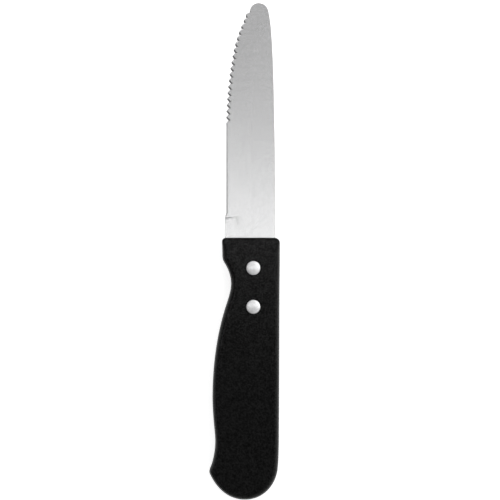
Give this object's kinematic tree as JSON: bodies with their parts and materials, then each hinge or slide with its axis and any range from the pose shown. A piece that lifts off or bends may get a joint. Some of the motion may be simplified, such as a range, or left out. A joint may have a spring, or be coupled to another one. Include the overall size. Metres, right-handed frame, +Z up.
{
  "type": "steak knife",
  "caption": "Table steak knife: round-tipped blade, toothed towards the tip and plain towards the heel, on a tang riveted between black handle scales with a finger notch and a beaked butt.",
  "frame": {"origin": "under the middle of the overall box, on the surface that the knife lies on", "axes": "+Y towards the tip, +X towards the spine, +Z up through the thickness; the knife lies on its right scale with the edge towards -X"},
  "size_m": [0.0355, 0.25, 0.016],
  "materials": {
    "blade_steel": "satin ground stainless steel, fine lines across the blade",
    "handle_plastic": "black moulded plastic with a fine matte grain",
    "rivet_metal": "bright turned rivet heads, slightly domed, with a bevelled rim"
  },
  "bodies": {
    "root": {"blade": "blade_steel", "left_scale": "handle_plastic", "right_scale": "handle_plastic", "front_rivet_pin": "rivet_metal", "front_rivet_sleeve": "rivet_metal", "rear_rivet_pin": "rivet_metal", "rear_rivet_sleeve": "rivet_metal"}
  },
  "joints": []
}
